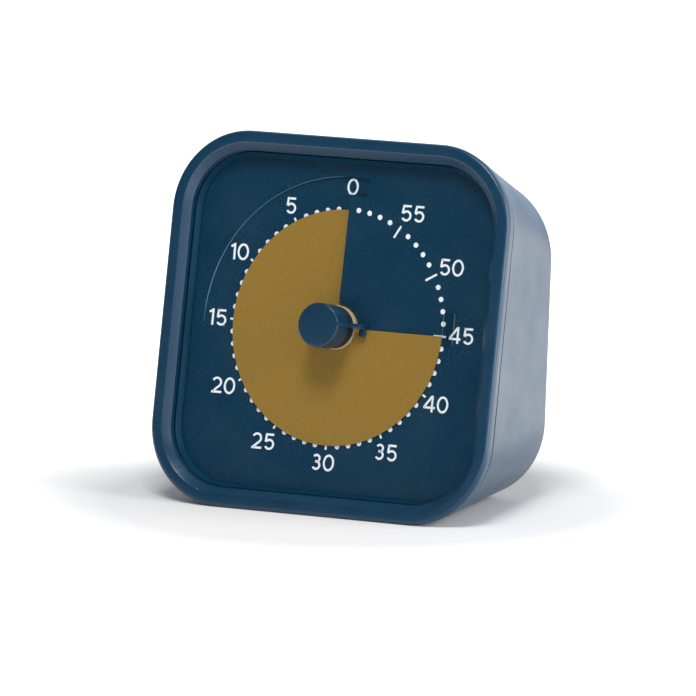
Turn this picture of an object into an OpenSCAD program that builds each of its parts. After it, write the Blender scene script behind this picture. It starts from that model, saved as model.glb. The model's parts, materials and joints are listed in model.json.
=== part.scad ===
/* [Case] */
// Width and height of the front rim
rim_size = 91; // [86:0.5:100]
// Corner radius of the front rim
rim_corner = 19.8; // [16:0.2:24]
// Depth of the case at the dial's centre, rim to back
case_depth = 42.5; // [41:0.5:55]
// Width of the back wall
back_w = 78; // [75:0.2:82]
// Height of the back wall
back_h = 77.6; // [75:0.2:82]
// Height of the back wall's centre above the dial's centre
back_rise = 1.9; // [0:0.1:3]
// Corner radius of the back wall
back_corner = 19.3; // [14:0.1:20]
// Turn of the back wall against the rim's plane, in degrees
back_turn = 7.5; // [4:0.5:9]
// Wall thickness of the rear case
wall = 2; // [1.6:0.1:2.4]
// Radius of the rim's outer edge
rim_edge = 1; // [0.5:0.1:1.5]
// Radius of the edge round the back wall
back_edge = 2; // [1:0.1:3]
// Distance of the seam behind the rim
seam_y = 4.4; // [3:0.1:4.8]
// Width of the seam groove
seam_gap = 0.35; // [0.2:0.05:0.6]

/* [Bezel] */
// Width of the flat rim
rim_w = 2.9; // [2:0.1:3.2]
// Width of the sloping band inside the rim
band_w = 1.8; // [1.2:0.1:2]
// Depth of the sloping band
band_drop = 1.7; // [0.4:0.1:2]
// Thickness of the bezel's frame
bezel_t = 2.9; // [1.8:0.1:3.1]
// Thickness of the bezel's skirt
skirt_t = 1.6; // [1.2:0.1:1.8]
// Thickness of the rear case's lip inside the skirt
lip_t = 1.1; // [0.8:0.1:1.2]
// Width of the inner sloping band round the dial
inner_band_w = 1.3; // [1:0.1:2]
// Drop of the inner sloping band
inner_band_drop = 1.7; // [1:0.1:1.8]

/* [Dial] */
// Distance of the dial's flat face behind the rim
dial_y = 5.15; // [5:0.05:5.6]
// Thickness of the dial plate
dial_t = 1.5; // [1.2:0.1:1.6]
// Rise of the dial ramp over one turn
ramp_pitch = 1.2; // [1.1:0.05:1.3]
// Depth of the ramp's low end below the flat face
ramp_low = 0.75; // [0.6:0.05:0.8]
// Thickness of the ramp
ramp_t = 0.55; // [0.5:0.05:0.6]
// Outer radius of the slot that the disc passes through
slot_r = 31.7; // [31.7:0.1:32.5]
// Outer radius of the ramp pocket
pocket_r = 36.4; // [35.5:0.1:36.8]
// Angle over which the pocket fades out
pocket_span = 95; // [60:5:120]
// Width of the pocket on the far side of the slot
pocket_w = 5; // [3:0.5:6]
// Radius of the opening round the hub
hub_open_r = 6.6; // [6.4:0.1:7]

/* [Disc] */
// Minutes shown at rest
rest_min = 45; // [0:1:60]
// Outer radius of the time disc
disc_r = 28.4; // [27:0.1:28.6]
// Thickness of the time disc
disc_t = 0.25; // [0.2:0.05:0.3]
// Running clearance between disc and ramp
disc_gap = 0.2; // [0.15:0.01:0.22]
// Angle that the disc covers
disc_span = 356; // [340:1:358]
// Radial width of the edge tab
tab_w = 2.95; // [2:0.05:3]
// Length of the edge tab ahead of the disc's leading edge
tab_ahead = 5.7; // [4:0.1:7]
// Length of the edge tab behind the disc's leading edge
tab_behind = 2; // [1:0.1:3]
// Outer radius of the hub ring
ring_r = 5.9; // [5.7:0.05:6]
// Distance of the hub ring's front face behind the rim, with 45 minutes shown
ring_y = 3.6; // [3.55:0.05:3.8]
// Length of the hub ring
ring_l = 2.6; // [2.4:0.1:2.8]

/* [Knob] */
// Radius of the knob
knob_r = 5.4; // [5:0.1:5.6]
// Length of the knob
knob_l = 6.1; // [5:0.1:7]
// Distance of the knob's rear face behind the rim
knob_rear_y = 1.5; // [1:0.1:1.6]
// Thickness of the fin and arm
arm_t = 1.1; // [0.8:0.1:1.4]
// Reach of the arm from the axis
arm_reach = 8.6; // [8:0.1:10]
// Height of the hook below the leading edge
hook_drop = 2; // [1:0.1:3]
// Width of the hook
hook_w = 1.7; // [1.2:0.1:2]
// Radius of the spindle's shaft
shaft_r = 1.5; // [1.3:0.05:1.7]
// Radius of the sleeve that carries the disc hub
sleeve_r = 5; // [4.4:0.05:5.1]

/* [Movement] */
// Side of the square movement case
move_size = 50; // [49:0.5:51]
// Distance of the movement's front face behind the rim
move_y = 8.2; // [8:0.1:8.6]
// Thickness of the movement's plates and walls
move_wall = 1.5; // [1.2:0.1:1.6]
// Depth inside the movement case
move_depth = 10.3; // [10.3:0.1:11]
// Module of the gears
gear_m = 0.3; // [0.28:0.01:0.3]
// Radius of the wheels' arbors
arbor_r = 0.55; // [0.5:0.05:0.6]
// Radius of the arbors' pivots
pivot_r = 0.35; // [0.3:0.05:0.4]
// Thickness of a gear wheel
wheel_t = 0.8; // [0.7:0.05:0.8]
// Radius of the alert cam
cam_r = 4.9; // [4:0.1:5]

/* [Battery] */
// Radius of the cell
cell_r = 7.25; // [7:0.05:7.25]
// Length of the cell without its nub
cell_l = 49.2; // [48:0.1:49.2]
// Height of the cell's axis above the back wall's middle
cell_z = -18.3; // [-18.3:0.1:-17.5]
// Thickness of the battery door
door_t = 2; // [1.8:0.1:2]
// Width of the battery door
door_w = 58.6; // [58:0.1:59]
// Height of the battery door above its pivot
door_h = 20.2; // [19.5:0.1:20.5]
// Gap round the battery door
door_gap = 0.3; // [0.2:0.05:0.4]
// Radius of the door's hinge pins
door_pin_r = 0.55; // [0.4:0.05:0.6]

/* [Back] */
// Distance of the switch from the middle of the back
switch_x = 16; // [14:0.5:20]
// Height of the switch above the middle of the back
switch_z = 20; // [18:0.5:24]
// Travel of the alert switch
switch_travel = 3; // [2:0.1:3.5]
// Radius of the buzzer
buzzer_r = 10; // [8:0.1:11]
// Number of sound holes round the middle one
sound_holes = 6; // [4:1:8]

/* [Fasteners] */
// Radius of the screws' shanks
screw_r = 1; // [0.8:0.05:1.1]
// Radius of the screws' heads
head_r = 2; // [1.8:0.05:2.1]
// Height of the screws' heads
head_h = 1.3; // [1:0.1:1.5]
// Horizontal distance of the case screws from the middle
case_screw_x = 33; // [32:0.1:33.5]
// Vertical distance of the case screws from the middle
case_screw_z = 22; // [21:0.1:23]
// Distance of the movement screws out from the movement's sides, both ways
move_screw_x = 2.5; // [2.5:0.1:3]

/* [Fits] */
// Radial clearance of a shaft in its hole
run_fit = 0.05; // [0.02:0.01:0.08]
// Clearance between seated parts
seat_fit = 0.1; // [0.05:0.01:0.15]

/* [Hidden] */

big = 200;
eps = 0.01;
curve_fn = 64;
hull_fn = 40;

// Colours
navy = [0.09, 0.23, 0.33];
navy_dark = [0.07, 0.19, 0.27];
gold = [0.55, 0.45, 0.22];

// The case stands on its sloping bottom wall, so the lean is that wall's slope
rim_bottom = [rim_edge, -rim_size / 2];
back_bottom_local = back_rise - back_h / 2;
back_bottom = [case_depth - back_edge * cos(back_turn) - back_bottom_local * sin(back_turn),
    back_bottom_local * cos(back_turn) - back_edge * sin(back_turn)];
lean = atan2(back_bottom[1] - rim_bottom[1], back_bottom[0] - rim_bottom[0]);
function leaned_y(p) = p[0] * cos(lean) + p[1] * sin(lean);
function leaned_z(p) = -p[0] * sin(lean) + p[1] * cos(lean);
stand_y = -(leaned_y(rim_bottom) + leaned_y(back_bottom)) / 2;
stand_z = -leaned_z(rim_bottom);

// Insets from the rim's outline
band_inset = rim_w + band_w;
sight_inset = band_inset + inner_band_w;
lip_inset = skirt_t + 0.3;
plate_inset = lip_inset + lip_t + 0.7;
dial_back_y = dial_y + dial_t;

// The dial ramp, with angles anticlockwise from the top
ramp_steps = 120;
slot_angle = 0.6;
pocket_corner = 1.4;
pocket_run = 2;
pocket_low = 0.75;
pocket_top = 0.25;
bridge_w = 1.5;
rest_angle = rest_min * 6;
function ramp_y(a) = dial_y + ramp_low - ramp_pitch * a / 360;
disc_inner_r = ring_r + seat_fit;
disc_steps = 89;

// Knob and arm
knob_front_y = knob_rear_y - knob_l;
arm_y = 2.95;
hook_y = ramp_y(360) - disc_gap - disc_t - 0.2;
sleeve_end_y = move_y - 0.6;

// Movement layers, as distances behind the rim
inner_y = move_y + move_wall;
cover_y = inner_y + move_depth + run_fit;
centre_y = inner_y + 0.8;
centre_t = 1;
third_y = centre_y + 1.8;
seconds_y = third_y + 1.7;
step_y = seconds_y + 1.7;
pinion_l = 1.5;
cam_y = third_y + 0.1;
cam_t = 1.2;
leaf_t = 0.25;
leaf_w = 0.5;
leaf_tip = 1.5;
leaf_foot = 4;
leaf_gap = 5;
stator_y = seconds_y - 0.8;
stator_t = 0.7;
board_y = step_y + 0.5;
board_t = 0.8;
board_half = move_size / 2 - move_wall - 2;
board_top = -8.5;
board_post_x = move_size / 2 - 6;
board_post_r = 1.6;
chip_size = 7;
chip_at = [6, -14];
crystal_r = 1;
crystal_l = 6.5;
crystal_at = [-10, -15];

// Gear train: teeth, centres and phases
centre_teeth = 80;
wheel_teeth = 48;
step_teeth = 40;
pinion_teeth = 8;
function centre_gap(a, b) = gear_m * (a + b) / 2;
function polar(r, a) = [r * cos(a), r * sin(a)];
train_gap = 1.125;
seconds_dir = 130;
seconds_z = move_size / 2 - move_wall - train_gap - gear_m * (wheel_teeth / 2 + 0.85);
third_dir = asin((seconds_z - centre_gap(wheel_teeth, pinion_teeth) * sin(seconds_dir))
    / centre_gap(centre_teeth, pinion_teeth));
step_dir = 190;
rotor_dir = 200;
third_at = polar(centre_gap(centre_teeth, pinion_teeth), third_dir);
seconds_at = third_at + polar(centre_gap(wheel_teeth, pinion_teeth), seconds_dir);
step_at = seconds_at + polar(centre_gap(wheel_teeth, pinion_teeth), step_dir);
rotor_at = step_at + polar(centre_gap(step_teeth, pinion_teeth), rotor_dir);
// Angle at which gear b meshes with gear a, which lies the other way along dir
function mesh(dir, a_phase, a_teeth, b_teeth) =
    dir + 180 + 180 / b_teeth - (a_phase - dir) * a_teeth / b_teeth;
third_phase = mesh(third_dir, 0, centre_teeth, pinion_teeth);
seconds_phase = mesh(seconds_dir, third_phase, wheel_teeth, pinion_teeth);
step_phase = mesh(step_dir, seconds_phase, wheel_teeth, pinion_teeth);
rotor_phase = mesh(rotor_dir, step_phase, step_teeth, pinion_teeth);

// Coil beside the gear train
coil_x = 6.5 - move_size / 2;
coil_z = -0.5;
coil_l = 12;
coil_r = 2.9;
core_over = 3.8;
stator_arm = 3;
stator_over = 2.4;
stator_slit = [0.3, 2.5];
slit_x = 2.5;
magnet_r = 1.8;
magnet_l = 2.2;
pole_w = 2.6;
pole_gap = 0.4;

// Battery bay, in the back wall's own frame
bay_gap = 0.45;
bay_wall = 1.2;
cell_y = -(door_t + 0.4 + cell_r);
bay_floor_y = cell_y - cell_r - bay_gap;
cell_x = -24.9;
nub_r = 2.7;
nub_l = 1.2;
contact_t = 0.4;
contact_half = 4.5;
contact_in = 5.5;
contact_out = 4;
spring_r = 4.2;
spring_taper = 1.6;
bay_x0 = cell_x - 3.4;
bay_x1 = cell_x + cell_l + nub_l + 1.8;
bay_z0 = cell_z - cell_r - bay_gap;
bay_z1 = cell_z + cell_r + bay_gap;
door_z = -28;
door_y = -door_t / 2;
spring_turns = 3;
spring_wire = 0.25;

// Alert switch and buzzer
switch_slot = [4.2 + switch_travel, 3.2];
switch_pocket = [switch_slot[0] + 3, 6];
pocket_depth = 0.9;
switch_size = [12, 4.5, 6];
switch_y = -wall - 1.2;
cheek_t = 1.1;
lever_size = [3.8, 2.8];
plate_size = [6.4, 4.8];
plate_t = 0.8;
buzzer_at = [-switch_x, switch_z];
buzzer_t = 2.6;

// Ribs inside the rear case
rib_t = 1.2;
rib_h = 0.5;
rib_at = 8;
rib_y0 = 12;
rib_y1 = case_depth - 5.5;

// Screw seats
post_r = 2.2;
move_post_r = 2;
pilot_y = dial_y + 0.4 * dial_t;
move_screw_at = move_size / 2 + move_screw_x;
move_screw_tip = pilot_y + 0.55;
column_r = 3;
post_l = 4;
column_y = dial_back_y + post_l + seat_fit;
column_web = 2;

// Puts the face's own frame (x across, y into the case, z up the face) on the ground
module face() {
    translate([0, stand_y, stand_z]) rotate([-lean, 0, 0]) children();
}

// Puts children on the back wall: x across, y outwards, z up the wall
module on_back() {
    face() translate([0, case_depth, 0]) rotate([back_turn, 0, 0]) children();
}

// Extrudes a shape drawn in x and z from y0 to y1
module deep(y0, y1) {
    translate([0, y1, 0]) rotate([90, 0, 0]) linear_extrude(y1 - y0) children();
}

// Straight cylinder along y
module rod(y0, y1, r, at = [0, 0]) {
    translate([at[0], y1, at[1]]) rotate([90, 0, 0]) cylinder(r = r, h = y1 - y0, $fn = curve_fn);
}

// Straight cylinder along x
module bar(x0, x1, r, y, z) {
    translate([x0, y, z]) rotate([0, 90, 0]) cylinder(r = r, h = x1 - x0, $fn = curve_fn);
}

module box(low, high) {
    translate(low) cube(high - low);
}

module rounded(w, h, r) {
    square([w - 2 * r, h], center = true);
    square([w, h - 2 * r], center = true);
    for (x = [-1, 1], z = [-1, 1])
        translate([x * (w / 2 - r), z * (h / 2 - r)]) circle(r, $fn = hull_fn);
}

// Outline of the rim, drawn in by inset
module rim_outline(inset) {
    side = rim_size - 2 * inset;
    rounded(side, side, rim_corner - inset);
}

module back_slab(inset, y) {
    translate([0, case_depth, 0]) rotate([back_turn, 0, 0]) translate([0, 0, back_rise])
        deep(y - eps, y) rounded(back_w - 2 * inset, back_h - 2 * inset, back_corner - inset);
}

// The whole outside of the case as one solid
module case_form() {
    hull() {
        deep(0, eps) rim_outline(rim_edge);
        deep(rim_edge * 0.3, rim_edge * 0.3 + eps) rim_outline(rim_edge * 0.29);
        deep(rim_edge, rim_edge + eps) rim_outline(0);
        back_slab(0, -back_edge);
        back_slab(back_edge * 0.29, -back_edge * 0.3);
        back_slab(back_edge, 0);
    }
}

// The space inside the case, drawn in from its outside by inset
module case_room(inset) {
    hull() {
        deep(rim_edge - eps, rim_edge) rim_outline(inset);
        back_slab(inset, -inset);
    }
}

module behind(y) {
    translate([-big / 2, y, -big / 2]) cube(big);
}

module front_bezel() {
    color(navy) face() difference() {
        case_form();
        behind(seam_y);
        deep(bezel_t, big) rim_outline(skirt_t);
        deep(-big, big) rim_outline(band_inset);
        hull() {
            deep(-eps, 0) rim_outline(rim_w);
            deep(band_drop, band_drop + eps) rim_outline(band_inset);
        }
    }
}

// Ring with the inner sloping band, held between bezel and dial plate
module dial_surround() {
    ring_y0 = bezel_t + seat_fit;
    lip_y = ring_y0 + inner_band_drop;
    leg = 1;
    edge_t = 0.3;
    color(navy_dark) face() difference() {
        deep(ring_y0, dial_y) rim_outline(plate_inset);
        deep(lip_y + edge_t, big) rim_outline(plate_inset + leg);
        deep(-big, big) rim_outline(sight_inset);
        hull() {
            deep(ring_y0 - eps, ring_y0) rim_outline(band_inset + seat_fit);
            deep(lip_y, lip_y + eps) rim_outline(sight_inset);
        }
    }
}

// Cross-section of the ramp ring at angle a, from the hub to the flat plate
function ramp_section(a) =
    let (y = ramp_y(a),
        flat = dial_y + 0.02,
        low = dial_y + ramp_low,
        edge_y = a < pocket_span ? low - (low - flat) * a / pocket_span : flat,
        back_y = dial_back_y - 0.02,
        edge_r = pocket_r + 0.3)
    [[slot_r, y], [edge_r, edge_y], [edge_r, back_y], [slot_r + 0.15, back_y],
        [slot_r, y + ramp_t], [hub_open_r, y + ramp_t], [hub_open_r, y]];

// Places a point of a section at angle a from the top, anticlockwise from the front
function turned(p, a) = [-p[0] * sin(a), p[1], p[0] * cos(a)];

// Solid swept from a list of rings with the same number of points; each end is a fan
// from the ring's first point
module swept(rings) {
    n = len(rings[0]);
    m = len(rings);
    last = (m - 1) * n;
    sides = [for (i = [0:m - 2], j = [0:n - 1])
        let (a = i * n + j, b = i * n + (j + 1) % n)
        each [[a, a + n, b + n], [a, b + n, b]]];
    polyhedron(points = [for (ring = rings) each ring],
        faces = concat(sides, [for (j = [1:n - 2]) [0, j, j + 1]],
            [for (j = [1:n - 2]) [last, last + j + 1, last + j]]));
}

module ramp_ring() {
    step = (360 - slot_angle) / ramp_steps;
    swept([for (i = [0:ramp_steps]) [for (p = ramp_section(i * step)) turned(p, i * step)]]);
}

module ring_2d(r_out, r_in) {
    difference() {
        circle(r_out, $fn = curve_fn);
        circle(r_in, $fn = curve_fn);
    }
}

module dial_plate() {
    pocket_in = slot_r + 0.4;
    color(navy_dark) face() difference() {
        union() {
            difference() {
                deep(dial_y, dial_back_y) rim_outline(plate_inset);
                rod(-big, big, pocket_r);
            }
            ramp_ring();
            deep(dial_y + ramp_low - 0.02, dial_back_y - 0.03) intersection() {
                ring_2d(pocket_r + 0.2, slot_r + 0.05);
                translate([-bridge_w / 3, slot_r]) square([bridge_w, pocket_r]);
            }
            for (x = [-1, 1], z = [-1, 1]) {
                rod(dial_back_y - dial_t / 3, dial_back_y + post_l, post_r,
                    [x * case_screw_x, z * case_screw_z]);
                rod(dial_back_y - dial_t / 3, move_y - seat_fit, move_post_r,
                    [x * move_screw_at, z * move_screw_at]);
            }
        }
        for (x = [-1, 1], z = [-1, 1]) {
            rod(pilot_y, big, screw_r + run_fit, [x * case_screw_x, z * case_screw_z]);
            rod(pilot_y, big, screw_r + run_fit, [x * move_screw_at, z * move_screw_at]);
        }
        deep(-big, dial_y + ramp_low) intersection() {
            ring_2d(pocket_r, pocket_in);
            translate([(pocket_w - pocket_run) / 2, (pocket_in + pocket_r + pocket_top - pocket_low) / 2])
                rounded(pocket_w + pocket_run, pocket_r - pocket_in + pocket_top + pocket_low, pocket_corner);
        }
    }
}

module time_disc() {
    step = disc_span / disc_steps;
    start = rest_angle - disc_span;
    section = [[disc_inner_r, -disc_gap], [disc_inner_r, -disc_gap - disc_t],
        [disc_r, -disc_gap - disc_t], [disc_r, -disc_gap]];
    color(gold) face() swept([for (i = [0:disc_steps])
        let (a = start + i * step)
        [for (p = section) turned([p[0], ramp_y(a) + p[1]], a)]]);
}

// Ring that carries the disc and slides on the sleeve as the disc follows the ramp
module disc_hub() {
    y = ring_y + ramp_y(rest_angle) - ramp_y(270);
    color("gainsboro") face() deep(y, y + ring_l) ring_2d(ring_r, sleeve_r + run_fit);
}

// Clear tab on the outer corner of the disc's leading edge
module edge_tab() {
    y = ramp_y(rest_angle) - disc_gap;
    h = tab_ahead + tab_behind;
    color([0.3, 0.45, 0.5]) face() rotate([0, 270 - rest_angle, 0])
        deep(y - disc_t + 0.03, y - 0.03)
            translate([disc_r + run_fit + tab_w / 2, h / 2 - tab_behind]) rounded(tab_w, h, 0.5);
}

module knob() {
    arm_z = 0.1;
    fin_x = knob_r + 0.35;
    color(navy) face() rotate([0, 270 - rest_angle, 0]) difference() {
        union() {
            rod(knob_front_y, knob_rear_y, knob_r);
            box([knob_r - 1, knob_front_y, arm_z], [fin_x, knob_rear_y, arm_z + arm_t]);
            box([sleeve_r + 0.1, knob_rear_y - 0.6, arm_z], [arm_reach, arm_y, arm_z + arm_t]);
            box([arm_reach - hook_w - 0.3, arm_y - 0.5, arm_z],
                [arm_reach - 0.3, hook_y, arm_z + arm_t]);
            deep(arm_y - 0.9, hook_y) {
                translate([arm_reach - hook_w - 0.3, hook_w / 2 - hook_drop])
                    square([hook_w, hook_drop]);
                translate([arm_reach - hook_w / 2 - 0.3, hook_w / 2 - hook_drop])
                    circle(hook_w / 2, $fn = curve_fn);
            }
        }
        rod(knob_front_y + 1.4, big, shaft_r + seat_fit / 2);
    }
}

// Collar on the shaft: the disc hub slides on it and the knob stands on it
module hub_sleeve() {
    color("dimgray") face() deep(knob_rear_y + seat_fit, sleeve_end_y)
        ring_2d(sleeve_r, shaft_r + seat_fit / 2);
}

module spindle_shaft() {
    color("silver") face() {
        rod(knob_front_y + 1.6, cover_y + move_wall - 0.2, shaft_r);
        rod(inner_y + 0.1, centre_y - seat_fit, shaft_r + 1.1);
    }
}

// Three-armed washer that presses the centre wheel against the shaft's collar
module clutch_spring() {
    y = centre_y + centre_t;
    color("goldenrod") face() {
        deep(y + 0.3, y + 0.55) ring_2d(shaft_r + 1.1, shaft_r + seat_fit / 2);
        for (a = [0:120:240])
            rotate([0, a, 0]) {
                box([shaft_r + 0.8, y + 0.3, -0.4], [shaft_r + 3, y + 0.55, 0.4]);
                box([shaft_r + 2.6, y + seat_fit / 2, -0.4], [shaft_r + 3, y + 0.4, 0.4]);
            }
    }
}

// Notched cam that closes the alert contact when the disc reaches zero
module alert_cam() {
    color("white") face() {
        deep(cam_y, cam_y + cam_t) difference() {
            circle(cam_r, $fn = curve_fn);
            circle(shaft_r + seat_fit / 2, $fn = curve_fn);
            rotate(-180) translate([cam_r - 0.6, -0.9]) square([2, 1.8]);
        }
        deep(centre_y + centre_t + 0.6, cam_y + 0.1) ring_2d(shaft_r + 1, shaft_r + seat_fit / 2);
    }
}

module movement_outline(inset) {
    side = move_size - 2 * inset;
    rounded(side, side, 4 - inset);
}

module arbor_holes(y0, y1) {
    for (at = [third_at, seconds_at, step_at, rotor_at]) rod(y0, y1, pivot_r + run_fit, at);
    rod(y0, y1, shaft_r + run_fit);
}

module movement_case() {
    ear_r = 2.6;
    color("whitesmoke") face() difference() {
        union() {
            deep(move_y, inner_y + move_depth) difference() {
                movement_outline(0);
                movement_outline(move_wall);
            }
            deep(move_y, inner_y) {
                movement_outline(0);
                for (x = [-1, 1], z = [-1, 1]) {
                    translate([x * move_screw_at, z * move_screw_at]) circle(ear_r, $fn = curve_fn);
                    rotate(atan2(z, x)) translate([move_size / 2, -ear_r])
                        square([move_screw_at * sqrt(2) - move_size / 2, 2 * ear_r]);
                }
            }
            for (s = [-1, 1])
                rod(inner_y - 0.2, board_y - seat_fit, board_post_r, [s * board_post_x, -board_post_x]);
        }
        for (x = [-1, 1], z = [-1, 1])
            rod(move_y - 1, inner_y + 1, screw_r + run_fit, [x * move_screw_at, z * move_screw_at]);
        arbor_holes(move_y - 1, inner_y + 0.1);
    }
}

module movement_cover() {
    color("whitesmoke") face() difference() {
        union() {
            deep(cover_y, cover_y + move_wall) movement_outline(0);
            deep(cover_y - 1, cover_y + 0.1) difference() {
                movement_outline(move_wall + seat_fit);
                movement_outline(move_wall + 1.1);
            }
            for (s = [-1, 1])
                rod(board_y + board_t + seat_fit, cover_y + 0.2, board_post_r,
                    [s * board_post_x, -board_post_x]);
        }
        arbor_holes(cover_y - 1.5, cover_y + move_wall + 1);
    }
}

// Gear outline with thin straight-flanked teeth, one tooth centred on angle phase
module gear_2d(teeth, phase = 0) {
    tip_r = gear_m * teeth / 2 + gear_m * 0.85;
    root_r = gear_m * teeth / 2 - gear_m * 1.15;
    root_half = gear_m * 0.85;
    tip_half = gear_m * 0.28;
    polygon([for (i = [0:teeth - 1])
        let (a = phase + i * 360 / teeth)
        each [polar(root_r, a) + polar(root_half, a - 90), polar(tip_r, a) + polar(tip_half, a - 90),
            polar(tip_r, a) + polar(tip_half, a + 90), polar(root_r, a) + polar(root_half, a + 90)]]);
}

module spoked(outer_r, hub_r) {
    rim = 1;
    spoke = 1.1;
    difference() {
        circle(outer_r - rim, $fn = curve_fn);
        circle(hub_r, $fn = curve_fn);
        for (a = [45, 135]) rotate(a) square([2 * outer_r, spoke], center = true);
    }
}

// Wheel, pinion and arbor turned as one piece
module geared_arbor(at, wheel_n, wheel_phase, wheel_y, pinion_phase, pinion_y) {
    translate([at[0], 0, at[1]]) {
        deep(wheel_y, wheel_y + wheel_t) difference() {
            gear_2d(wheel_n, wheel_phase);
            spoked(gear_m * (wheel_n / 2 - 1.15), 2);
        }
        deep(pinion_y, pinion_y + pinion_l) gear_2d(pinion_teeth, pinion_phase);
        rod(inner_y + 0.3, cover_y - 0.3, arbor_r);
        rod(inner_y - move_wall * 0.7, cover_y + move_wall * 0.7, pivot_r);
    }
}

module centre_wheel() {
    color("gold") face() deep(centre_y, centre_y + centre_t) difference() {
        gear_2d(centre_teeth);
        spoked(gear_m * (centre_teeth / 2 - 1.15), shaft_r + 3.3);
        circle(shaft_r + run_fit, $fn = curve_fn);
    }
}

module third_wheel() {
    color("gold") face()
        geared_arbor(third_at, wheel_teeth, third_phase, third_y, third_phase, centre_y - 0.3);
}

module seconds_wheel() {
    color("gold") face()
        geared_arbor(seconds_at, wheel_teeth, seconds_phase, seconds_y, seconds_phase, third_y - 0.3);
}

module step_wheel() {
    color("ivory") face()
        geared_arbor(step_at, step_teeth, step_phase, step_y, step_phase, seconds_y - 0.3);
}

module rotor_pinion() {
    color("ivory") face() translate([rotor_at[0], 0, rotor_at[1]]) {
        deep(step_y - 0.3, step_y - 0.3 + pinion_l) gear_2d(pinion_teeth, rotor_phase);
        rod(inner_y + 0.3, cover_y - 0.3, arbor_r);
        rod(inner_y - move_wall * 0.7, cover_y + move_wall * 0.7, pivot_r);
    }
}

module rotor_magnet() {
    y = stator_y + stator_t / 2 - magnet_l / 2;
    color("dimgray") face() translate([rotor_at[0], 0, rotor_at[1]])
        deep(y, y + magnet_l) ring_2d(magnet_r, arbor_r + run_fit);
}

// Flat pole piece round the magnet, with an arm to each end of the coil core
module stator() {
    arm = stator_arm;
    top = coil_z + coil_l / 2 + stator_over;
    low = coil_z - coil_l / 2 - stator_over;
    color("silver") face() deep(stator_y, stator_y + stator_t) difference() {
        union() {
            translate(rotor_at) circle(magnet_r + pole_w, $fn = curve_fn);
            translate([coil_x - arm / 2, top - arm / 2])
                square([rotor_at[0] - coil_x + arm / 2, arm]);
            translate([rotor_at[0] - arm / 2, low - arm / 2])
                square([arm, rotor_at[1] - low + arm / 2]);
            translate([coil_x - arm / 2, low - arm / 2])
                square([rotor_at[0] - coil_x + arm, arm]);
        }
        translate(rotor_at) circle(magnet_r + pole_gap, $fn = curve_fn);
        translate([coil_x + slit_x, top - stator_slit[1]]) square(stator_slit);
    }
}

module coil_core() {
    y = stator_y + stator_t + run_fit;
    reach = coil_l / 2 + core_over;
    color("gray") face()
        box([coil_x - 1, y, coil_z - reach], [coil_x + 1, y + stator_t, coil_z + reach]);
}

// Square-flanged former that the wire is wound on
module coil_bobbin() {
    y = stator_y + 1.5 * stator_t + run_fit;
    half = coil_l / 2;
    tube = 1.5;
    color("wheat") face() translate([coil_x, y, coil_z]) difference() {
        union() {
            for (s = [-1, 1]) translate([0, 0, s * (half - 0.3)])
                cube([2 * coil_r + 0.4, 2 * coil_r + 0.4, 0.6], center = true);
            cube([2 * tube, 2 * tube, coil_l], center = true);
        }
        cube([2 + seat_fit, stator_t + seat_fit, coil_l + 1], center = true);
    }
}

module coil_winding() {
    y = stator_y + 1.5 * stator_t + run_fit;
    color("chocolate") face() translate([coil_x, y, coil_z]) difference() {
        cylinder(r = coil_r, h = coil_l - 1.4, center = true, $fn = curve_fn);
        cube([3 + seat_fit, 3 + seat_fit, coil_l], center = true);
    }
}

module circuit_board() {
    color("darkgreen") face()
        box([-board_half, board_y, -board_half], [board_half, board_y + board_t, board_top]);
}

module chip() {
    color("black") face() deep(board_y - 1.4, board_y - run_fit)
        translate(chip_at) rounded(chip_size, chip_size, 0.6);
}

module crystal() {
    color("silver") face() bar(crystal_at[0], crystal_at[0] + crystal_l, crystal_r,
        board_y - crystal_r - run_fit, crystal_at[1]);
}

// Leaf that the cam lifts to sound the alert
module alert_contact() {
    x = coil_x + leaf_gap;
    y = cam_y + 0.15;
    z = -cam_r - 0.35 - leaf_t;
    color("goldenrod") face() {
        box([x, y, z], [leaf_tip, y + leaf_w, z + leaf_t]);
        box([x, y, z - leaf_foot], [x + leaf_t, y + leaf_w, z + leaf_t]);
        box([x, inner_y + seat_fit, z - leaf_foot], [x + leaf_t, y + leaf_w, z - leaf_tip]);
    }
}

// Walls and floor of the battery bay, with a ledge that the closed door lies on
module bay_walls() {
    half = door_w / 2 + door_gap + 1;
    box([bay_x0 - bay_wall, bay_floor_y - bay_wall, bay_z0 - bay_wall],
        [bay_x1 + bay_wall, -wall, bay_z1 + bay_wall]);
    box([-half, -wall - 1.3, door_z - door_t / 2 - door_gap - 1],
        [half, -wall + 0.2, door_z + door_h + door_gap + 1]);
}

module bay_space() {
    box([bay_x0, bay_floor_y, bay_z0], [bay_x1, 1, bay_z1]);
}

module door_opening() {
    half = door_w / 2 + door_gap;
    box([-half, -wall - 0.1, door_z - door_t / 2 - door_gap],
        [half, 1, door_z + door_h + door_gap]);
}

module battery_door() {
    half = door_w / 2;
    grip_z = door_z + door_h - 3;
    color(navy) on_back() difference() {
        union() {
            box([-half, -door_t, door_z], [half, 0, door_z + door_h]);
            bar(-half, half, door_t / 2, door_y, door_z);
            bar(-half - door_gap - 1.2, half + door_gap + 1.2, door_pin_r, door_y, door_z);
            for (x = [-20, -10, 0, 10, 20])
                box([x - 0.5, -door_t - 0.3, door_z + 3.2], [x + 0.5, -door_t + 0.1, door_z + door_h - 4]);
        }
        for (i = [0:2]) box([-6, -0.5, grip_z - 1.6 * i], [6, 1, grip_z - 1.6 * i + 0.7]);
    }
}

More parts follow.
